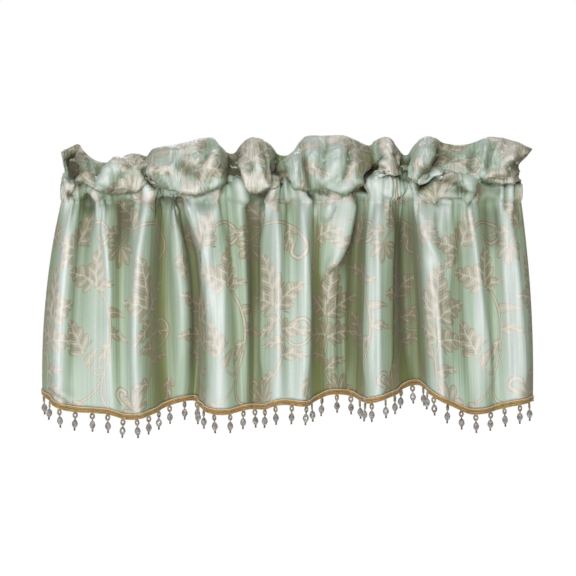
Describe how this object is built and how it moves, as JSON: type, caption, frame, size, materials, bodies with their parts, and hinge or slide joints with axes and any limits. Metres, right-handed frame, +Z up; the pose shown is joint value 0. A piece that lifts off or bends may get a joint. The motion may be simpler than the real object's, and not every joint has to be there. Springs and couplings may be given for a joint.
{
  "type": "scalloped valance",
  "caption": "Gathered window valance with a ruffled heading over a rod pocket, uneven soft folds and a scalloped hem edged with braid and glass drops.",
  "frame": {"origin": "on the axis of the empty rod pocket, at half the width", "axes": "+X along the rod to the right as seen from the room, +Y towards the wall, +Z up"},
  "size_m": [0.7113, 0.0788, 0.431],
  "materials": {
    "satin_cloth": "sage green satin jacquard with taupe leaf scrolls",
    "braid": "gold woven gimp and thread loops",
    "glass_drops": "faceted smoky glass"
  },
  "bodies": {
    "root": {"valance_cloth": "satin_cloth", "beaded_braid": "braid"}
  },
  "joints": []
}
